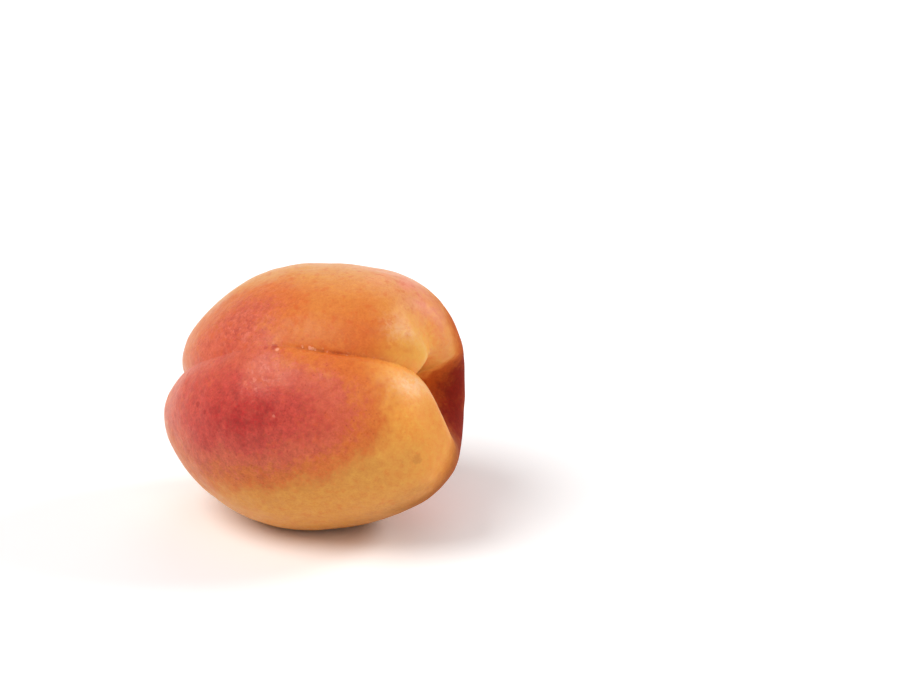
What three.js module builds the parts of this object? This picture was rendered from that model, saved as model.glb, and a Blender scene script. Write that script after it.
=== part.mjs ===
import * as THREE from 'three';

// One whole apricot, lying on its side. Lengths are millimetres and angles are degrees.
//
// The fruit is described from its centre. `polar` is the angle away from the stem end and
// `around` is the angle round the fruit from the seam's plane. The seam runs down one side,
// out of the stem hollow and on to the blossom tip. It parts the lower lobe, where `around`
// is positive, from the upper lobe, where it is negative.

// Body: a rounded form, a little boxier at the stem end than at the tip
const STEM_REACH = 26.4;
const TIP_REACH = 29.3;
const BODY_RADIUS = 22.9;
const BOXINESS = 2.05;         // 2 gives an ellipse
const STEM_BOXINESS = 0.42;    // added at the stem end, taken away at the tip

// How the body's radius differs round the fruit
const LOWER_FULLNESS = 1.8;
const SEAM_FLATNESS = 0.24;
const CHEEK_FULLNESS = 0.75;
const BODY_SKEW = 0.74;

// Swellings: how far each stands proud, where it is, and how wide it is
const SWELLINGS = [
  { name: 'lower shoulder', height: 2.6, polar: 34, around: 75, width: 23 },
  { name: 'upper shoulder', height: 1.45, polar: 42, around: -45, width: 20 },
  { name: 'far shoulder', height: 1.1, polar: 34, around: -88, width: 23 },
  { name: 'resting side', height: 0.65, polar: 84, around: 136, width: 24 },
];
const RIM_SLANT = 0.93;        // the hollow's rim is higher below and lower above
const RIM_POLAR = 29;
const RIM_WIDTH = 20;
const TIP_SLANT = 0.9;         // the tip's lower side is fuller than its upper side
const TIP_SLANT_POLAR = 155;
const TIP_SLANT_WIDTH = 29;

// Stem hollow: wider away from the seam, and narrower on the far side, where the flesh bulges
const HOLLOW_DEPTH = 11.8;
const HOLLOW_ANGLE = 15;
const HOLLOW_STEEPNESS = 3.1;
const HOLLOW_AWAY = 0.25;
const HOLLOW_ABOVE = 0.05;
const HOLLOW_PINCH = 0.45;
const HOLLOW_PINCH_AROUND = -100;
const HOLLOW_PINCH_WIDTH = 46;

// Valley: a shallow dip that runs out of the hollow between the upper and the far shoulder
const VALLEY_DEPTH = 1.7;
const VALLEY_AROUND = -46;
const VALLEY_WIDTH = 17;
const VALLEY_POLAR = 23;
const VALLEY_SPAN = 17;

// Seam: a sharp crease between two rounded lips, deepest at both ends and shallow halfway along
const SEAM_DEPTH = 1.95;
const SEAM_STEM_DEPTH = 3.9;
const SEAM_STEM_SPAN = 31.5;
const SEAM_TIP_DEPTH = 3.25;
const SEAM_TIP_SPAN = 29;
const SEAM_SHALLOW = 1.15;         // taken off the depth halfway along
const SEAM_SHALLOW_POLAR = 91;
const SEAM_SHALLOW_SPAN = 17;
const SEAM_LIP = 4.5;              // how wide each lip rolls, along the middle
const SEAM_STEM_LIP = 3.15;        // and beside the stem hollow
const SEAM_FADE = 10;              // the crease dies out on the hollow's floor

// How far the seam strays round the fruit from its plane, where, and over what span
const SEAM_STRAYS = [
  { turn: 1.2, polar: 54, span: 31.5 },
  { turn: -1.6, polar: 92, span: 29 },
  { turn: 3.85, polar: 132, span: 34 },
];

// Where it lies: rolled so that the seam faces up and forward, with the stem end raised
const ROLL = 37.6;
const STEM_LIFT = 7.5;
const CENTRE = new THREE.Vector3(-0.81, 1.0, 23.55);
const SPOT_LEVEL = 0;              // the skin is flat where it touches the ground

// Mesh: closer rings at the stem end, closer columns at the seam
const RINGS = 52;
const COLUMNS = 76;
const STEM_CROWDING = 1.2;
const SEAM_CROWDING = 0.7;

const radians = THREE.MathUtils.degToRad;
const bell = (distance, width) => Math.exp(-((distance / width) ** 2));
const turnBetween = (a, b) => THREE.MathUtils.euclideanModulo(a - b + 180, 360) - 180;

// Angle between two directions on the fruit, in degrees
function angleBetween(polar, around, otherPolar, otherAround) {
  const a = new THREE.Vector3().setFromSphericalCoords(1, radians(polar), radians(around));
  const b = new THREE.Vector3().setFromSphericalCoords(1, radians(otherPolar), radians(otherAround));
  return THREE.MathUtils.radToDeg(a.angleTo(b));
}

// How far the seam has strayed from its plane at this distance from the stem end
function seamStray(polar) {
  return SEAM_STRAYS.reduce((sum, stray) => sum + stray.turn * bell(polar - stray.polar, stray.span), 0);
}

function bodyRadius(polar, around) {
  const along = Math.cos(radians(polar));
  const across = Math.sin(radians(polar));
  const turn = radians(around);
  const reach = along > 0 ? STEM_REACH : TIP_REACH;
  const girth = BODY_RADIUS + LOWER_FULLNESS * Math.sin(turn) - SEAM_FLATNESS * Math.cos(turn)
    - CHEEK_FULLNESS * Math.cos(2 * turn) + BODY_SKEW * Math.sin(2 * turn);
  const power = BOXINESS + STEM_BOXINESS * along;
  return (Math.abs(along / reach) ** power + Math.abs(across / girth) ** power) ** (-1 / power);
}

function swelling(polar, around) {
  const side = Math.sin(radians(around));
  let height = RIM_SLANT * side * bell(polar - RIM_POLAR, RIM_WIDTH);
  height += TIP_SLANT * side * bell(polar - TIP_SLANT_POLAR, TIP_SLANT_WIDTH);
  for (const lump of SWELLINGS) {
    height += lump.height * bell(angleBetween(polar, around, lump.polar, lump.around), lump.width);
  }
  return height;
}

function hollowDepth(polar, around) {
  const turn = radians(around);
  const wider = 1 - HOLLOW_ABOVE * Math.sin(turn) - HOLLOW_AWAY * Math.cos(turn)
    - HOLLOW_PINCH * bell(turnBetween(around, HOLLOW_PINCH_AROUND), HOLLOW_PINCH_WIDTH);
  return HOLLOW_DEPTH * Math.exp(-((polar / (HOLLOW_ANGLE * wider)) ** HOLLOW_STEEPNESS));
}

function valleyDepth(polar, around) {
  const across = bell(turnBetween(around, VALLEY_AROUND), VALLEY_WIDTH);
  return VALLEY_DEPTH * across * bell(polar - VALLEY_POLAR, VALLEY_SPAN);
}

function seamDepth(polar, fromSeam) {
  const nearStem = bell(polar, SEAM_STEM_SPAN);
  const nearTip = bell(180 - polar, SEAM_TIP_SPAN);
  const depth = SEAM_DEPTH + SEAM_STEM_DEPTH * nearStem + SEAM_TIP_DEPTH * nearTip
    - SEAM_SHALLOW * bell(polar - SEAM_SHALLOW_POLAR, SEAM_SHALLOW_SPAN);
  const lip = SEAM_LIP + (SEAM_STEM_LIP - SEAM_LIP) * nearStem;
  const distance = 2 * BODY_RADIUS * Math.sin(radians(polar)) * Math.sin(radians(Math.abs(fromSeam)) / 2);
  return depth * (1 - bell(polar, SEAM_FADE)) * Math.exp(-distance / lip);
}

// A point of the skin, given as the angle from the stem end and the angle from the seam
function skinPoint(polar, fromSeam) {
  const around = fromSeam + seamStray(polar);
  const radius = bodyRadius(polar, around) + swelling(polar, around)
    - hollowDepth(polar, around) - valleyDepth(polar, around) - seamDepth(polar, fromSeam);
  const across = radius * Math.sin(radians(polar));
  const point = new THREE.Vector3(
    radius * Math.cos(radians(polar)),
    -across * Math.cos(radians(around)),
    -across * Math.sin(radians(around)),
  );
  point.applyAxisAngle(new THREE.Vector3(1, 0, 0), -radians(ROLL));
  point.applyAxisAngle(new THREE.Vector3(0, 1, 0), -radians(STEM_LIFT));
  point.add(CENTRE);
  point.z = Math.max(point.z, SPOT_LEVEL);
  return point;
}

function skinGeometry() {
  const positions = [...skinPoint(0, 0).toArray()];
  const faces = [];
  for (let ring = 1; ring < RINGS; ring += 1) {
    const polar = 180 * (ring / RINGS) ** STEM_CROWDING;
    for (let column = 0; column < COLUMNS; column += 1) {
      const turn = (2 * column) / COLUMNS - 1;
      const fromSeam = 180 * ((1 - SEAM_CROWDING) * turn + SEAM_CROWDING * turn ** 3);
      positions.push(...skinPoint(polar, fromSeam).toArray());
    }
  }
  positions.push(...skinPoint(180, 0).toArray());

  const tip = positions.length / 3 - 1;
  const corner = (ring, column) => 1 + (ring - 1) * COLUMNS + (column % COLUMNS);
  for (let column = 0; column < COLUMNS; column += 1) {
    faces.push(0, corner(1, column), corner(1, column + 1));
    for (let ring = 1; ring < RINGS - 1; ring += 1) {
      faces.push(corner(ring, column), corner(ring + 1, column), corner(ring + 1, column + 1));
      faces.push(corner(ring, column), corner(ring + 1, column + 1), corner(ring, column + 1));
    }
    faces.push(corner(RINGS - 1, column), tip, corner(RINGS - 1, column + 1));
  }

  const geometry = new THREE.BufferGeometry();
  geometry.setAttribute('position', new THREE.Float32BufferAttribute(positions, 3));
  geometry.setIndex(faces);
  geometry.computeVertexNormals();
  return geometry;
}

const skin = new THREE.MeshStandardMaterial({ color: '#d98a4e', roughness: 0.55, metalness: 0 });
const fruit = new THREE.Mesh(skinGeometry(), skin);
fruit.name = 'apricot';

const group = new THREE.Group();
group.add(fruit);

export default group;
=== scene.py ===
"""One whole apricot, lying on its side on a pale floor."""

import math

import bpy
import numpy as np
from mathutils import Matrix, Vector, noise


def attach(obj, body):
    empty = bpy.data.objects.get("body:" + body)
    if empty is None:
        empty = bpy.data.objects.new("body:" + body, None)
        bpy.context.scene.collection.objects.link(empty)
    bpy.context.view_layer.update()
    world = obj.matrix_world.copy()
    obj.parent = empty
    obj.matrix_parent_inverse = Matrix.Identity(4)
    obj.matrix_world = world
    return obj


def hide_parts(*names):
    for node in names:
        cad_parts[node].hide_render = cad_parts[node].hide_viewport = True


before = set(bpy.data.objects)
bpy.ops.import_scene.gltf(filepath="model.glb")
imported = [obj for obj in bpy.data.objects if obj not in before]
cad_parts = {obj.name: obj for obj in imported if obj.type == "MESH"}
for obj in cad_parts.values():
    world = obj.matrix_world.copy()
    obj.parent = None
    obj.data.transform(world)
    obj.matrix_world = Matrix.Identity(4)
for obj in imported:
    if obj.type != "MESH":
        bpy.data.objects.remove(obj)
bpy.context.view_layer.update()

MM = 0.001

# ---------------------------------------------------------------- the form, as in its CAD solid
# Lengths are millimetres and angles are degrees. `polar` is the angle away from the stem end,
# and `around` is the angle round the fruit from the seam's plane, positive on the lower lobe.
# `from_seam` is the angle from the seam itself, which strays a little from that plane.

STEM_REACH = 26.4
TIP_REACH = 29.3
BODY_RADIUS = 22.9
BOXINESS = 2.05                    # 2 gives an ellipse
STEM_BOXINESS = 0.42               # added at the stem end, taken away at the tip

LOWER_FULLNESS = 1.8
SEAM_FLATNESS = 0.24
CHEEK_FULLNESS = 0.75
BODY_SKEW = 0.74

SWELLINGS = [                      # height, polar, around, width
    (2.6, 34, 75, 23),             # lower shoulder
    (1.45, 42, -45, 20),           # upper shoulder
    (1.1, 34, -88, 23),            # far shoulder
    (0.65, 84, 136, 24),           # the side it rests on
]
RIM_SLANT = 0.93                   # the hollow's rim is higher below and lower above
RIM_POLAR = 29
RIM_WIDTH = 20
TIP_SLANT = 0.9                    # the tip's lower side is fuller than its upper side
TIP_SLANT_POLAR = 155
TIP_SLANT_WIDTH = 29

HOLLOW_DEPTH = 11.8                # the stem hollow
HOLLOW_ANGLE = 15
HOLLOW_STEEPNESS = 3.1
HOLLOW_AWAY = 0.25
HOLLOW_ABOVE = 0.05
HOLLOW_PINCH = 0.45
HOLLOW_PINCH_AROUND = -100
HOLLOW_PINCH_WIDTH = 46

VALLEY_DEPTH = 1.7                 # the dip between the upper and the far shoulder
VALLEY_AROUND = -46
VALLEY_WIDTH = 17
VALLEY_POLAR = 23
VALLEY_SPAN = 17

SEAM_DEPTH = 1.95
SEAM_STEM_DEPTH = 3.9
SEAM_STEM_SPAN = 31.5
SEAM_TIP_DEPTH = 3.25
SEAM_TIP_SPAN = 29
SEAM_SHALLOW = 1.15                # taken off the depth halfway along
SEAM_SHALLOW_POLAR = 91
SEAM_SHALLOW_SPAN = 17
SEAM_LIP = 4.5                     # how wide each lip rolls, along the middle
SEAM_STEM_LIP = 3.15               # and beside the stem hollow
SEAM_FADE = 10                     # the crease dies out on the hollow's floor
SEAM_STRAYS = [(1.2, 54, 31.5), (-1.6, 92, 29), (3.85, 132, 34)]     # turn, polar, span

ROLL = 37.6
STEM_LIFT = 7.5
CENTRE = Vector((-0.81, 1.0, 23.55))

# ---------------------------------------------------------------- what the fine mesh adds to it
WAVE_HEIGHT = 0.14                 # gentle unevenness of the skin
WAVES = 5.5                        # over the fruit's radius
RIPPLE_HEIGHT = 0.035
RIPPLES = 19.0

SCAR_POLAR = 6.5                   # the stem scar: a raised ring round a pit
SCAR_RING = 0.35
SCAR_RING_WIDTH = 1.6
SCAR_PIT = 0.8
SCAR_PIT_WIDTH = 0.7 * SCAR_POLAR
TIP_POINT_ANGLE = 2.4              # the dry point where the flower was
TIP_POINT_HEIGHT = 0.45
TIP_POINT_WIDTH = 0.6 * TIP_POINT_ANGLE

GROOVE_DEPTH = 0.30                # the thin line pressed into the middle of the seam
GROOVE_WIDTH = 0.36
GROOVE_POLAR = 60
GROOVE_SPAN = 17
GROOVE_UNEVENNESS = 0.35           # its depth beats in two rhythms along its way
GROOVE_QUICK = 11
GROOVE_SLOW = 4.3
GROOVE_SHIFT = 50

RINGS = 300
COLUMNS = 328
STEM_CROWDING = 1.2                # closer rings at the stem end
SEAM_CROWDING = 0.6                # closer columns at the seam

# ---------------------------------------------------------------- the skin's look
# Colours are six-digit sRGB codes. A patch is the polar angle and the angle from the seam of
# its middle, then its spans along the fruit and round it. A band is one angle and one span.
# A ramp is where it starts and ends, then what it gives at each, or 0 and 1 if left out.

NOISES = {                         # size in millimetres, detail, roughness, and its own offset
    "wander along": (7.5, 3.0, 0.6, 1.0),
    "wander round": (7.5, 3.0, 0.6, 2.0),
    "mottle": (2.2, 5.0, 0.65, 3.0),
    "fine": (0.34, 2.0, 0.6, 4.0),
    "dimples": (1.6, 2.0, 0.5, 5.0),
    "seam line": (1.1, 3.0, 0.6, 6.0),
    "seam flecks": (0.8, 2.0, 0.5, 7.0),
    "spots": (1.1, 4.0, 0.7, 8.0),
    "grain": (0.75, 3.0, 0.6, 9.0),
    "glint specks": (0.9, 2.0, 0.6, 10.0),
    "dark pores": (0.9, 3.0, 0.6, 11.0),
    "freckles": (1.2, 2.0, 0.5, 12.0),
}
WANDER_ALONG = 15                  # how far noise moves the edges of patches, in degrees
WANDER_ROUND = 14

OCHRE = "e39a42"                   # ground on the lower lobe and underneath
ORANGE = "e08236"                  # ground on both lobes, beside the seam
ORANGE_BAND = (-6, 52)
ORANGE_RAMP = (0.25, 0.9)
GOLD = "ffad4c"                    # ground round the stem end
GOLD_RAMP = (54, 28)
GOLD_LEAN = (10, -20, 0.0, 8.0)    # it ends sooner on the upper lobe

BLUSH_START = 0.06
BLUSH_COLOURS = [                  # amount of blush, colour
    (0.22, "de7430"),
    (0.45, "d66042"),
    (0.70, "c8483a"),
    (1.00, "ac2624"),
]
BLUSH_PATCHES = [                  # strength, patch
    (0.51, (88, 34, 31, 17)),      # crimson heart of the lower lobe
    (0.47, (108, 25, 38, 30)),     # coral round it
    (0.34, (110, -16, 32, 26)),    # upper lobe
    (0.25, (58, 22, 14, 24)),      # burnt orange across the seam
    (0.12, (45, -20, 14, 22)),
    (0.24, (140, 30, 28, 45)),     # towards the tip
    (0.20, (104, -142, 34, 26)),   # far side
    (0.15, (74, -170, 26, 34)),
    (0.16, (132, 150, 24, 50)),    # underside
    (0.34, (47, 176, 25, 60)),     # round the painted shade behind the hollow
]
BLUSH_MOTTLE = 0.32                # how much the mottling and the speckle change the blush
BLUSH_SPECKLE = 0.34
BLUSH_BREAKS = (0.0, 0.35, 0.18, 1.0)         # less where there is little blush

PINK = "f08468"                    # mottling on the far shoulder
PINK_PATCH = (38, -67, 22, 17)
PINK_MOTTLE = (0.35, 0.60, 0.40, 1.0)
BURNT = "d86420"                   # burnt orange on the upper lobe, beside the seam
BURNT_PATCH = (47, -10, 15, 15)
BURNT_STRENGTH = 0.66
PEACH_AND_SHEEN = "f4b084"                   # paler peach skin with a painted sheen along the top of the upper lobe
PEACH_AND_SHEEN_PATCH = (62, -88, 40, 26)
PEACH_AND_SHEEN_MOTTLE = (0.3, 0.65, 0.35, 0.8)
LOWER_BLUSH_SHADE = "584838"                   # painted shade on the lower side of the blush
LOWER_BLUSH_SHADE_PATCH = (98, 51, 42, 14)
LOWER_BLUSH_SHADE_STRENGTH = 0.2
LOWER_RIM_SHADE = "7c3208"                  # painted shade below the stem hollow
LOWER_RIM_SHADE_BAND = (26, 34)
LOWER_RIM_SHADE_START = (73, 98)            # it comes and goes between these angles from the seam
LOWER_RIM_SHADE_END = (146, 116)
LOWER_RIM_SHADE_STRENGTH = 0.85

CHEEK_SHADE = "881b08"                   # painted shade behind the stem hollow, deep red, partly the skin's own blush
CHEEK_SHADE_RAMP = (0.38, 1.0)
# the painted shade's orange edge
CHEEK_SHADE_EDGE = "d2601a"
CHEEK_SHADE_EDGE_RAMP = (0.05, 0.50, 0.0, 0.95)
CHEEK_SHADE_EDGE_ON_LOWER_RIM_SHADE = (0.0, 1.0, 1.0, 0.35)
CHEEK_FROM_SEAM = 181              # where its middle is
CHEEK_SIDES = (142, 18)            # and how it fades either way from there
CHEEK_INSIDE = (4, 23)             # how it comes and goes away from the stem end
CHEEK_OUTSIDE = (60, 19)
CHEEK_ON_LOWER_LOBE = (5, 40)      # a little of it lies on the lower lobe's wall
CHEEK_ON_LOWER_LOBE_STRENGTH = 0.2
CHEEK_BREAKS = 0.7
CHEEK_DULL = (0.0, 0.4)

HOLLOW_FLOOR = "c88a30"
HOLLOW_FLOOR_RAMP = (SCAR_POLAR + 5, SCAR_POLAR, 0.0, 0.7)
SCAR_RIM = "9c7140"
SCAR_RIM_RAMP = (SCAR_POLAR + 1.8, SCAR_POLAR + 0.6, 0.0, 0.9)
SCAR = "74502f"
SCAR_RAMP = (SCAR_POLAR, SCAR_POLAR - 1.8)
TIP_POINT_RAMP = (180 - TIP_POINT_ANGLE, 180 - 0.4 * TIP_POINT_ANGLE, 0.0, 0.85)

FINE_SHADES = (0.22, 0.78)         # fine light and dark, stronger on the blush
FINE_ON_BLUSH = (0.0, 0.4, 0.12, 0.20)
SPOT_SHADES = (0.25, 0.75)
SPOTS_ON_BLUSH = (0.0, 0.4, 0.12, 0.22)

DOT_CORE = 0.4                     # share of a dot's radius at full strength
PORE = "a81c14"
PORE_SPACING = 0.85
PORE_RADIUS = 0.20
PORE_SHARE = 0.5                   # how many places of the grid have one
PORES_ON_BLUSH = (0.05, 0.4, 0.1, 0.42)
# pale specks painted as glints where the highlight lies
GLINT_SPECK = "ff9c82"
GLINT_SPECK_RAMP = (0.50, 0.66)
GLINT_SPECK_PATCHES = [              # strength, patch
    (0.38, (90, 15, 10, 7)),
    (0.26, (106, -10, 16, 10)),
]
LEMON = "ffc04a"                   # yellow skin on the upper lobe, beside the hollow
LEMON_PATCH = (21, -16, 11, 16)
LEMON_STRENGTH = 0.65
SHOULDER_HIGHLIGHT = "ffd2a4"                   # painted highlight on both shoulders, speckled
SHOULDER_HIGHLIGHT_RAMP = (0.35, 0.60, 0.3, 1.0)
SHOULDER_HIGHLIGHT_PATCHES = [                  # strength, patch
    (0.60, (27, 17, 12, 9)),
    (0.40, (33, -25, 8, 8)),
]
DARK_PORE = "a82a20"               # dark red mottling beside the seam
DARK_PORE_RAMP = (0.50, 0.64)
DARK_PORE_PATCH = (107, -10, 17, 9)
DARK_PORE_STRENGTH = 0.5
FRECKLE = "dc5e1e"
FRECKLE_RAMP = (0.54, 0.68)
FRECKLES_FROM_SEAM = (-5, 25, 0.40, 0.22)
FRECKLES_ON_DULL = (0.5, 0.1)
FRECKLES_FROM_STEM = (24, 42, 0.25, 1.0)
FRECKLES_ON_BLUSH = (0.9, 0.5)

MARKS = [                          # polar, from the seam, radius in millimetres, colour, strength
    (85.7, 0.6, 0.80, "b02a24", 0.7),
    (89.8, 1.2, 0.55, "b02a24", 0.5),
    (121.5, 24.0, 0.55, "a02018", 0.6),
    (116.5, 27.5, 0.45, "a02018", 0.6),
    (82.0, 32.2, 0.35, "a02018", 0.5),
    (83.0, 30.6, 0.34, "f3a58a", 0.30),
    (36.3, 60.0, 0.85, "c4702e", 0.40),
    (84.2, 2.0, 0.46, "ffae8c", 0.7),
    (69.4, -0.9, 0.44, "ffb08c", 0.7),
    (68.0, -0.6, 0.40, "ffb890", 0.7),
    (66.9, -0.3, 0.34, "ffb890", 0.6),
]
MARK_RAGGEDNESS = 1.6

SEAM_LINE = "b4501c"
SEAM_LINE_WIDTH = 0.34
SEAM_LINE_RAMP = (0.36, 0.56)
SEAM_LINE_BAND = (58, 18)
SEAM_LINE_STRENGTH = 0.75
SEAM_FLECK = "ffb88c"              # dry flecks along the middle of the seam
SEAM_FLECK_WIDTH = 0.45
SEAM_FLECK_RAMP = (0.60, 0.68)
SEAM_FLECK_BAND = (74, 26)
SEAM_FLECK_STRENGTH = 0.85

ROUGHNESS = (0.3, 0.7, 0.31, 0.43)
DULL_ROUGHNESS = (0.0, 1.0, 0.3, 0.95)        # in and below the hollow, where the down is thick
EVEN_SETTINGS = {                  # the shader's settings that are the same all over the skin
    "IOR": 1.4,
    "Specular IOR Level": 0.35,
    "Subsurface Weight": 0.10,
    "Subsurface Radius": (1.0, 0.35, 0.12),
    "Subsurface Scale": 1.4 * MM,
    "Sheen Weight": 0.03,
    "Sheen Roughness": 0.4,
}
SHEEN_TINT = "ffe0cc"
GRAIN_RELIEF = 0.9                 # against the fine noise's relief
FLECK_RELIEF = 1.5
BUMP_STRENGTH = 0.5
BUMP_HEIGHT = 0.09

# ---------------------------------------------------------------- floor, lights and camera
FLOOR_HALF = 3.0                   # metres
FLOOR_SHADE = 0.96
FLOOR_SHADE_SEEN = 1.15            # paler where it is seen, so that faint shade stays white
AMBIENT = 0.24                     # the world's strength as a light
BACKDROP = 1.0                     # and where it is seen
SUNS = [                           # name, turn from the camera's side, height, strength, spread
    ("window", -64, 52, 1.75, 40),
    ("front", 0, 46, 0.50, 50),
    ("side", 106, 34, 1.0, 18),
    ("back", 165, 48, 0.30, 35),
]
CAMERA_AZIMUTH = 20.0
CAMERA_ELEVATION = 20.0
CAMERA_DISTANCE = 450.0
CAMERA_LENS = 103.4
CAMERA_NEAR = 0.01                 # metres
FRUIT_LEFT_OF_AXIS = 23.44
FRUIT_BELOW_AXIS = 8.31


# ---------------------------------------------------------------- the mesh
def bell(distance, width):
    return np.exp(-((distance / width) ** 2))


def sine(angle):
    return np.sin(np.radians(angle))


def cosine(angle):
    return np.cos(np.radians(angle))


def direction(polar, around):
    """Unit vectors in the fruit's own axes: towards the stem, the seam and the lower lobe."""
    across = sine(polar)
    along = cosine(polar) + 0 * around
    return np.stack([along, across * cosine(around), across * sine(around)], axis=-1)


def turn_between(a, b):
    return (a - b + 180) % 360 - 180


def angle_between(a, b):
    return np.degrees(np.arccos(np.clip(a @ b, -1, 1)))


def seam_stray(polar):
    """How far the seam has strayed from its plane at this distance from the stem end."""
    return sum(turn * bell(polar - where, span) for turn, where, span in SEAM_STRAYS)


def body_radius(polar, around):
    along, across = cosine(polar), sine(polar)
    reach = np.where(along > 0, STEM_REACH, TIP_REACH)
    girth = (BODY_RADIUS + LOWER_FULLNESS * sine(around) - SEAM_FLATNESS * cosine(around)
             - CHEEK_FULLNESS * cosine(2 * around) + BODY_SKEW * sine(2 * around))
    power = BOXINESS + STEM_BOXINESS * along
    return (np.abs(along / reach) ** power + np.abs(across / girth) ** power) ** (-1 / power)


def swelling(polar, around):
    side = sine(around)
    height = RIM_SLANT * side * bell(polar - RIM_POLAR, RIM_WIDTH)
    height = height + TIP_SLANT * side * bell(polar - TIP_SLANT_POLAR, TIP_SLANT_WIDTH)
    here = direction(polar, around)
    for lump, lump_polar, lump_around, width in SWELLINGS:
        there = direction(np.float64(lump_polar), np.float64(lump_around))
        height = height + lump * bell(angle_between(here, there), width)
    return height


def hollow_depth(polar, around):
    wider = (1 - HOLLOW_ABOVE * sine(around) - HOLLOW_AWAY * cosine(around)
             - HOLLOW_PINCH * bell(turn_between(around, HOLLOW_PINCH_AROUND), HOLLOW_PINCH_WIDTH))
    return HOLLOW_DEPTH * np.exp(-((polar / (HOLLOW_ANGLE * wider)) ** HOLLOW_STEEPNESS))


def valley_depth(polar, around):
    across = bell(turn_between(around, VALLEY_AROUND), VALLEY_WIDTH)
    return VALLEY_DEPTH * across * bell(polar - VALLEY_POLAR, VALLEY_SPAN)


def seam_distance(polar, from_seam):
    return 2 * BODY_RADIUS * sine(polar) * sine(np.abs(from_seam) / 2)


def seam_depth(polar, from_seam):
    near_stem = bell(polar, SEAM_STEM_SPAN)
    near_tip = bell(180 - polar, SEAM_TIP_SPAN)
    depth = (SEAM_DEPTH + SEAM_STEM_DEPTH * near_stem + SEAM_TIP_DEPTH * near_tip
             - SEAM_SHALLOW * bell(polar - SEAM_SHALLOW_POLAR, SEAM_SHALLOW_SPAN))
    lip = SEAM_LIP + (SEAM_STEM_LIP - SEAM_LIP) * near_stem
    return depth * (1 - bell(polar, SEAM_FADE)) * np.exp(-seam_distance(polar, from_seam) / lip)


def waves(polar, from_seam):
    return np.array([
        WAVE_HEIGHT * noise.noise(Vector(place) * WAVES)
        + RIPPLE_HEIGHT * noise.noise(Vector(place) * RIPPLES)
        for place in direction(polar, from_seam)
    ])


def groove_depth(polar, from_seam):
    rhythm = sine(polar * GROOVE_QUICK) * sine(polar * GROOVE_SLOW + GROOVE_SHIFT)
    uneven = 1 - GROOVE_UNEVENNESS + GROOVE_UNEVENNESS * rhythm
    fade = bell(polar - GROOVE_POLAR, GROOVE_SPAN)
    return GROOVE_DEPTH * uneven * fade * bell(seam_distance(polar, from_seam), GROOVE_WIDTH)


def ends(polar):
    """How far the stem scar and the dry point at the tip stand proud."""
    ring = SCAR_RING * bell(polar - SCAR_POLAR, SCAR_RING_WIDTH)
    pit = SCAR_PIT * bell(polar, SCAR_PIT_WIDTH)
    return ring - pit + TIP_POINT_HEIGHT * bell(180 - polar, TIP_POINT_WIDTH)


def skin_points(polar, from_seam):
    """Points of the skin in the model's frame, in metres."""
    around = from_seam + seam_stray(polar)
    radius = (body_radius(polar, around) + swelling(polar, around)
              - hollow_depth(polar, around) - valley_depth(polar, around)
              - seam_depth(polar, from_seam) - groove_depth(polar, from_seam)
              + waves(polar, from_seam) + ends(polar))
    own = direction(polar, around) * radius[..., None]
    lift = Matrix.Rotation(-math.radians(STEM_LIFT), 3, "Y")
    turn = lift @ Matrix.Rotation(-math.radians(ROLL), 3, "X")
    axes = np.array([turn @ Vector(axis) for axis in ((1, 0, 0), (0, -1, 0), (0, 0, -1))])
    points = own @ axes + np.array(CENTRE)
    points[..., 2] = np.maximum(points[..., 2], 0)
    return points * MM


def skin_mesh():
    """The skin as rings of corners, from the middle of the stem scar to the tip."""
    turns = 2 * np.arange(COLUMNS) / COLUMNS - 1
    polar = 180 * (np.arange(1, RINGS) / RINGS) ** STEM_CROWDING
    from_seam = 180 * ((1 - SEAM_CROWDING) * turns + SEAM_CROWDING * turns ** 3)
    polar, from_seam = np.meshgrid(polar, from_seam, indexing="ij")
    polar = np.concatenate([[0.0], polar.ravel(), [180.0]])
    from_seam = np.concatenate([[0.0], from_seam.ravel(), [0.0]])
    points = skin_points(polar, from_seam)

    def corner(ring, column):
        return 1 + (ring - 1) * COLUMNS + column % COLUMNS

    tip = len(points) - 1
    faces = [(0, corner(1, c), corner(1, c + 1)) for c in range(COLUMNS)]
    for r in range(1, RINGS - 1):
        faces += [(corner(r, c), corner(r + 1, c), corner(r + 1, c + 1), corner(r, c + 1))
                  for c in range(COLUMNS)]
    faces += [(corner(RINGS - 1, c), tip, corner(RINGS - 1, c + 1)) for c in range(COLUMNS)]

    mesh = bpy.data.meshes.new("apricot_skin")
    mesh.from_pydata(points.tolist(), [], faces)
    mesh.polygons.foreach_set("use_smooth", [True] * len(mesh.polygons))
    place = mesh.attributes.new("place", "FLOAT_VECTOR", "POINT")
    place.data.foreach_set("vector", direction(polar, from_seam).astype(np.float32).ravel())
    mesh.update()
    return mesh


# ---------------------------------------------------------------- materials
MIX_BELOW, MIX_ABOVE, MIX_RESULT = 6, 7, 2     # the Mix node's sockets for colours


def colour(code):
    """A linear colour from a six-digit sRGB code."""
    parts = [int(code[i:i + 2], 16) / 255 for i in (0, 2, 4)]
    return [c / 12.92 if c <= 0.04045 else ((c + 0.055) / 1.055) ** 2.4 for c in parts] + [1.0]


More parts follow.
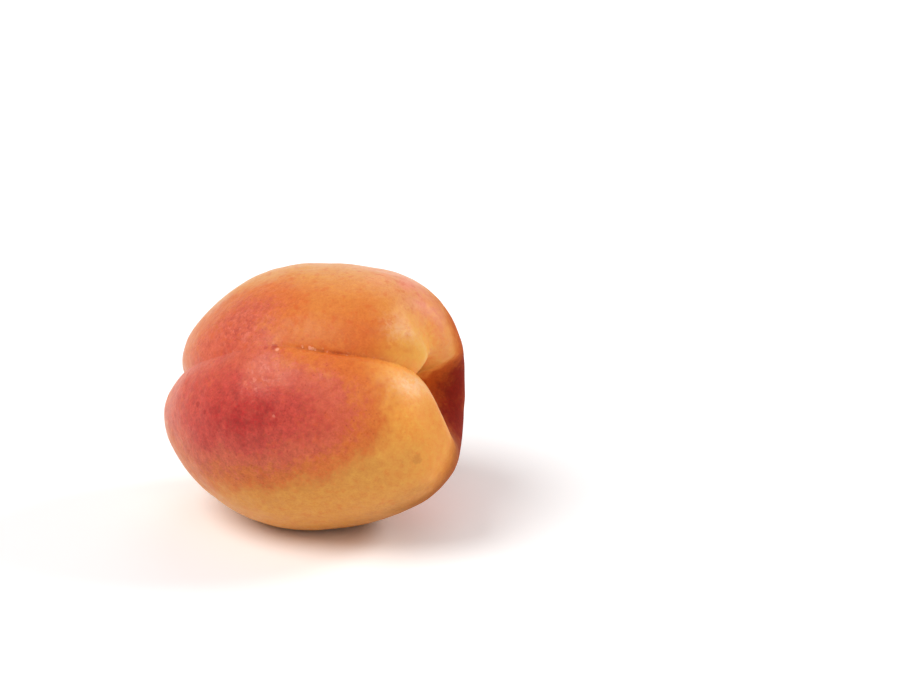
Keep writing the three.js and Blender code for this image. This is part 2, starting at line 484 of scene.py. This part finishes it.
class Nodes:
    """Short ways to build a tree of nodes."""

    def __init__(self, tree):
        self.tree = tree

    def new(self, kind, **settings):
        node = self.tree.nodes.new("ShaderNode" + kind)
        for name, value in settings.items():
            setattr(node, name, value)
        return node

    def put(self, socket, value):
        """Links an output to this input, or sets a plain value on it."""
        if isinstance(value, bpy.types.NodeSocket):
            self.tree.links.new(value, socket)
        else:
            socket.default_value = value

    def math(self, operation, *values):
        node = self.new("Math", operation=operation)
        for socket, value in zip(node.inputs, values):
            self.put(socket, value)
        return node.outputs[0]

    def total(self, values):
        result = values[0]
        for value in values[1:]:
            result = self.math("ADD", result, value)
        return result

    def times(self, *values):
        result = values[0]
        for value in values[1:]:
            result = self.math("MULTIPLY", result, value)
        return result

    def sine(self, angle):
        return self.math("SINE", self.math("RADIANS", angle))

    def bell(self, value, centre, width):
        offset = self.math("DIVIDE", self.math("SUBTRACT", value, centre), width)
        return self.math("EXPONENT", self.times(offset, offset, -1.0))

    def ramp(self, value, low, high, low_out=0.0, high_out=1.0):
        node = self.new("MapRange", interpolation_type="SMOOTHSTEP")
        for socket, number in zip(node.inputs, (value, low, high, low_out, high_out)):
            self.put(socket, number)
        return node.outputs[0]

    def mix(self, below, above, amount, blend="MIX"):
        node = self.new("Mix", data_type="RGBA", blend_type=blend)
        self.put(node.inputs["Factor"], amount)
        self.put(node.inputs[MIX_BELOW], below)
        self.put(node.inputs[MIX_ABOVE], above)
        return node.outputs[MIX_RESULT]

    def split(self, value):
        node = self.new("SeparateXYZ")
        self.put(node.inputs[0], value)
        return node.outputs

    def seen_directly(self):
        """1 for camera, glossy and transmission rays, 0 for rays that light other things."""
        path = self.new("LightPath")
        seen = path.outputs["Is Camera Ray"]
        for name in ("Is Glossy Ray", "Is Transmission Ray"):
            seen = self.math("MAXIMUM", seen, path.outputs[name])
        return seen


class Skin(Nodes):
    """The fruit's skin, painted over its ground one layer after another."""

    def __init__(self, tree):
        super().__init__(tree)
        # Where a point is: in millimetres, and as its direction and two angles on the fruit
        scaled = self.new("VectorMath", operation="SCALE")
        self.put(scaled.inputs[0], self.new("TexCoord").outputs["Object"])
        scaled.inputs["Scale"].default_value = 1 / MM
        self.place = scaled.outputs[0]
        unit = self.new("VectorMath", operation="NORMALIZE")
        self.put(unit.inputs[0], self.new("Attribute", attribute_name="place").outputs["Vector"])
        self.towards = unit.outputs[0]
        to_stem, to_seam, to_lower = self.split(self.towards)
        self.polar = self.math("DEGREES", self.math("ARCCOSINE", to_stem))
        self.from_seam = self.math("DEGREES", self.math("ARCTAN2", to_lower, to_seam))

        # The same angles moved by noise, for patches with uneven edges
        self.strayed_polar = self.wander(self.polar, WANDER_ALONG, "wander along")
        self.strayed_seam = self.wander(self.from_seam, WANDER_ROUND, "wander round")

        self.mottle = self.noise("mottle")
        self.fine = self.noise("fine")
        self.grain = self.noise("grain")
        self.painted = colour(OCHRE)

    def noise(self, name):
        """One of the soft noises, from 0 to 1."""
        size, detail, roughness, offset = NOISES[name]
        node = self.new("TexNoise", noise_dimensions="4D")
        self.put(node.inputs["Vector"], self.place)
        self.put(node.inputs["W"], offset)
        self.put(node.inputs["Scale"], 1 / size)
        self.put(node.inputs["Detail"], detail)
        self.put(node.inputs["Roughness"], roughness)
        return node.outputs["Fac"]

    def wander(self, angle, most, name):
        return self.math("ADD", angle, self.times(self.centred(self.noise(name)), 2 * most))

    def centred(self, value):
        return self.math("SUBTRACT", value, 0.5)

    def turn_from(self, angle):
        """How far round the fruit a point is from this angle, either way."""
        return self.math("PINGPONG", self.math("SUBTRACT", self.strayed_seam, angle), 180.0)

    def patch(self, polar, from_seam, along, across):
        side = self.turn_from(from_seam)
        return self.times(self.bell(self.strayed_polar, polar, along), self.bell(side, 0, across))

    def patches(self, table):
        return self.total([self.times(self.patch(*patch), strength) for strength, patch in table])

    def dots(self, spacing, radius, share):
        """Round dots, on this share of a jittered grid."""
        node = self.new("TexVoronoi", feature="F1")
        self.put(node.inputs["Vector"], self.place)
        self.put(node.inputs["Scale"], 1 / spacing)
        dot = self.ramp(node.outputs["Distance"], radius / spacing, DOT_CORE * radius / spacing)
        picked = self.math("LESS_THAN", self.split(node.outputs["Color"])[0], share)
        return self.times(dot, picked)

    def away(self, polar, from_seam):
        """Distance in millimetres from one place on the skin."""
        node = self.new("VectorMath", operation="DISTANCE")
        self.put(node.inputs[0], self.towards)
        node.inputs[1].default_value = Vector(direction(np.float64(polar), np.float64(from_seam)))
        return self.times(node.outputs["Value"], BODY_RADIUS)

    def paint(self, code, *amounts):
        self.painted = self.mix(self.painted, colour(code), self.times(*amounts))

    def paint_ground(self):
        """Orange beside the seam, ochre below, gold at the stem end."""
        beside_seam = self.bell(self.strayed_seam, *ORANGE_BAND)
        self.paint(ORANGE, self.ramp(beside_seam, *ORANGE_RAMP))
        leaning = self.math("ADD", self.strayed_polar, self.ramp(self.strayed_seam, *GOLD_LEAN))
        self.paint(GOLD, self.ramp(leaning, *GOLD_RAMP))

    def paint_blush(self):
        """The blush, with its edges broken up by mottling and speckle."""
        amount = self.patches(BLUSH_PATCHES)
        mottling = self.times(self.centred(self.mottle), BLUSH_MOTTLE)
        both = self.math("SUBTRACT", self.math("ADD", self.fine, self.grain), 1.0)
        self.speckle = self.times(both, BLUSH_SPECKLE)
        breaks = self.times(self.total([mottling, self.speckle]), self.ramp(amount, *BLUSH_BREAKS))
        self.blush = self.math("ADD", amount, breaks)
        below = BLUSH_START
        for enough, code in BLUSH_COLOURS:
            self.paint(code, self.ramp(self.blush, below, enough))
            below = enough

    def paint_shoulders(self):
        """Pink, burnt orange, and peach with a painted sheen on the upper lobe; painted shade
        below the blush and below the hollow on the lower.
        """
        self.paint(PINK, self.patch(*PINK_PATCH), self.ramp(self.mottle, *PINK_MOTTLE))
        self.paint(BURNT, self.patch(*BURNT_PATCH), BURNT_STRENGTH)
        # peach skin with a painted sheen along the top of the upper lobe
        self.paint(PEACH_AND_SHEEN, self.patch(*PEACH_AND_SHEEN_PATCH), self.ramp(self.mottle, *PEACH_AND_SHEEN_MOTTLE))
        # painted shade on the lower side of the blush
        self.paint(LOWER_BLUSH_SHADE, self.patch(*LOWER_BLUSH_SHADE_PATCH), LOWER_BLUSH_SHADE_STRENGTH)
        # painted shade on the lower lobe's rim, below the stem hollow
        self.lower_rim_shade = self.times(self.bell(self.strayed_polar, *LOWER_RIM_SHADE_BAND),
                                 self.ramp(self.strayed_seam, *LOWER_RIM_SHADE_START),
                                 self.ramp(self.strayed_seam, *LOWER_RIM_SHADE_END))
        self.paint(LOWER_RIM_SHADE, self.lower_rim_shade, LOWER_RIM_SHADE_STRENGTH)

    def paint_cheek_shade(self):
        """Painted shade behind the stem hollow, deep red and partly the skin's own blush, with an
        orange edge.
        """
        behind = self.ramp(self.turn_from(CHEEK_FROM_SEAM), *CHEEK_SIDES)
        on_lower_lobe = self.times(self.ramp(self.strayed_seam, *CHEEK_ON_LOWER_LOBE),
                                   CHEEK_ON_LOWER_LOBE_STRENGTH)
        ring = self.times(self.ramp(self.polar, *CHEEK_INSIDE),
                          self.ramp(self.strayed_polar, *CHEEK_OUTSIDE))
        breaks = self.times(self.math("ADD", self.centred(self.mottle), self.speckle),
                            behind, CHEEK_BREAKS)
        shade_and_blush = self.times(self.math("MAXIMUM", behind, on_lower_lobe), ring)
        shade_and_blush = self.math("ADD", shade_and_blush, breaks)
        # painted shade behind the hollow: its orange edge, then its deep red
        self.paint(CHEEK_SHADE_EDGE, self.ramp(shade_and_blush, *CHEEK_SHADE_EDGE_RAMP),
                   self.ramp(self.lower_rim_shade, *CHEEK_SHADE_EDGE_ON_LOWER_RIM_SHADE))
        self.paint(CHEEK_SHADE, self.ramp(shade_and_blush, *CHEEK_SHADE_RAMP))
        self.dull = self.math("MAXIMUM", self.ramp(shade_and_blush, *CHEEK_DULL), self.lower_rim_shade)

    def paint_ends(self):
        """The hollow's floor with the stem scar, and the dry point at the tip."""
        self.paint(HOLLOW_FLOOR, self.ramp(self.polar, *HOLLOW_FLOOR_RAMP))
        self.paint(SCAR_RIM, self.ramp(self.polar, *SCAR_RIM_RAMP))
        self.paint(SCAR, self.ramp(self.polar, *SCAR_RAMP))
        self.paint(SCAR, self.ramp(self.polar, *TIP_POINT_RAMP))

    def paint_pores(self):
        """Fine light and dark, dark pores, pale specks painted as glints, a painted highlight on
        the shoulders, and freckles.
        """
        for shades, on_blush in (
            (self.ramp(self.fine, *FINE_SHADES), FINE_ON_BLUSH),
            (self.ramp(self.noise("spots"), *SPOT_SHADES), SPOTS_ON_BLUSH),
        ):
            amount = self.ramp(self.blush, *on_blush)
            self.painted = self.mix(self.painted, shades, amount, "OVERLAY")
        pores = self.dots(PORE_SPACING, PORE_RADIUS, PORE_SHARE)
        self.paint(PORE, pores, self.ramp(self.blush, *PORES_ON_BLUSH))
        # pale specks painted as glints where the highlight lies
        self.paint(GLINT_SPECK, self.ramp(self.noise("glint specks"), *GLINT_SPECK_RAMP),
                   self.patches(GLINT_SPECK_PATCHES))
        self.paint(LEMON, self.patch(*LEMON_PATCH), LEMON_STRENGTH)
        # painted highlight on both shoulders
        self.paint(SHOULDER_HIGHLIGHT, self.ramp(self.grain, *SHOULDER_HIGHLIGHT_RAMP), self.patches(SHOULDER_HIGHLIGHT_PATCHES))
        self.paint(DARK_PORE, self.ramp(self.noise("dark pores"), *DARK_PORE_RAMP),
                   self.patch(*DARK_PORE_PATCH), DARK_PORE_STRENGTH)
        self.paint(FRECKLE, self.ramp(self.noise("freckles"), *FRECKLE_RAMP),
                   self.ramp(self.strayed_seam, *FRECKLES_FROM_SEAM),
                   self.ramp(self.dull, *FRECKLES_ON_DULL),
                   self.ramp(self.polar, *FRECKLES_FROM_STEM),
                   self.ramp(self.blush, *FRECKLES_ON_BLUSH))

    def paint_marks(self):
        """Single marks with ragged edges."""
        for polar, from_seam, radius, code, strength in MARKS:
            raggedness = self.times(self.centred(self.grain), MARK_RAGGEDNESS * radius)
            distance = self.math("ADD", self.away(polar, from_seam), raggedness)
            self.paint(code, self.ramp(distance, radius, DOT_CORE * radius, 0.0, strength))

    def paint_seam(self):
        """The seam's broken line, with dry flecks along its middle."""
        half_turn = self.math("ABSOLUTE", self.times(self.from_seam, 0.5))
        distance = self.times(self.sine(half_turn), self.sine(self.polar), 2 * BODY_RADIUS)
        line = self.times(self.bell(distance, 0.0, SEAM_LINE_WIDTH),
                          self.ramp(self.noise("seam line"), *SEAM_LINE_RAMP),
                          self.bell(self.polar, *SEAM_LINE_BAND))
        self.paint(SEAM_LINE, line, SEAM_LINE_STRENGTH)
        self.flecks = self.times(self.bell(distance, 0.0, SEAM_FLECK_WIDTH),
                                 self.ramp(self.noise("seam flecks"), *SEAM_FLECK_RAMP),
                                 self.bell(self.polar, *SEAM_FLECK_BAND))
        self.paint(SEAM_FLECK, self.flecks, SEAM_FLECK_STRENGTH)

    def join(self, shader):
        """Puts the paint, the gloss and the relief on the shader."""
        self.put(shader.inputs["Base Color"], self.painted)
        roughness = self.math("MAXIMUM", self.ramp(self.mottle, *ROUGHNESS),
                              self.ramp(self.dull, *DULL_ROUGHNESS))
        self.put(shader.inputs["Roughness"], roughness)
        for name, value in EVEN_SETTINGS.items():
            shader.inputs[name].default_value = value
        shader.inputs["Sheen Tint"].default_value = colour(SHEEN_TINT)

        bump = self.new("Bump")
        relief = self.total([self.fine, self.times(self.grain, GRAIN_RELIEF),
                             self.noise("dimples"), self.times(self.flecks, FLECK_RELIEF)])
        self.put(bump.inputs["Height"], relief)
        bump.inputs["Strength"].default_value = BUMP_STRENGTH
        bump.inputs["Distance"].default_value = BUMP_HEIGHT * MM
        self.put(shader.inputs["Normal"], bump.outputs[0])


def skin_material():
    material = bpy.data.materials.new("apricot_skin")
    material.use_nodes = True
    skin = Skin(material.node_tree)
    skin.paint_ground()
    skin.paint_blush()
    skin.paint_shoulders()
    skin.paint_cheek_shade()
    skin.paint_ends()
    skin.paint_pores()
    skin.paint_marks()
    skin.paint_seam()
    skin.join(material.node_tree.nodes["Principled BSDF"])
    return material


# ---------------------------------------------------------------- the scene
def add(name, data):
    thing = bpy.data.objects.new(name, data)
    bpy.context.scene.collection.objects.link(thing)
    return thing


def add_floor():
    mesh = bpy.data.meshes.new("floor")
    h = FLOOR_HALF
    mesh.from_pydata([(-h, -h, 0), (h, -h, 0), (h, h, 0), (-h, h, 0)], [], [(0, 1, 2, 3)])
    material = bpy.data.materials.new("floor")
    material.use_nodes = True
    n = Nodes(material.node_tree)
    n.tree.nodes.clear()
    shade = n.ramp(n.seen_directly(), 0.0, 1.0, FLOOR_SHADE, FLOOR_SHADE_SEEN)
    diffuse = n.new("BsdfDiffuse")
    n.put(diffuse.inputs["Color"], shade)
    n.put(n.new("OutputMaterial").inputs["Surface"], diffuse.outputs[0])
    mesh.materials.append(material)
    floor = add("floor", mesh)


def add_world():
    world = bpy.data.worlds.new("studio")
    bpy.context.scene.world = world
    world.use_nodes = True
    n = Nodes(world.node_tree)
    background = n.tree.nodes["Background"]
    background.inputs["Color"].default_value = (1, 1, 1, 1)
    strength = n.ramp(n.seen_directly(), 0.0, 1.0, AMBIENT, BACKDROP)
    n.put(background.inputs["Strength"], strength)


def bearing(azimuth, elevation):
    """A unit vector turned this far from the front towards the right, and this far up."""
    a, e = math.radians(azimuth), math.radians(elevation)
    return Vector((math.sin(a) * math.cos(e), -math.cos(a) * math.cos(e), math.sin(e)))


def add_sun(name, azimuth, elevation, strength, spread):
    """A soft distant light. Azimuth turns from the camera's own side towards its right."""
    lamp = bpy.data.lights.new(name, "SUN")
    lamp.energy = strength
    lamp.angle = math.radians(spread)
    towards = bearing(CAMERA_AZIMUTH + azimuth, elevation)
    add(name, lamp).rotation_euler = towards.to_track_quat("Z", "Y").to_euler()


def add_camera():
    back = bearing(CAMERA_AZIMUTH, CAMERA_ELEVATION)
    a = math.radians(CAMERA_AZIMUTH)
    right = Vector((math.cos(a), math.sin(a), 0))
    up = back.cross(right)
    place = CENTRE + back * CAMERA_DISTANCE + right * FRUIT_LEFT_OF_AXIS + up * FRUIT_BELOW_AXIS
    camera = add("camera", bpy.data.cameras.new("camera"))
    camera.data.lens = CAMERA_LENS
    camera.data.clip_start = CAMERA_NEAR
    turn = Matrix((right, up, back)).transposed().to_4x4()
    camera.matrix_world = Matrix.Translation(place * MM) @ turn
    bpy.context.scene.camera = camera


bpy.context.scene.view_settings.view_transform = "Standard"
add_camera()
add_floor()
add_world()
for sun in SUNS:
    add_sun(*sun)

skin = add("apricot_skin", skin_mesh())
skin.data.materials.append(skin_material())
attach(skin, "root")
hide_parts("apricot")
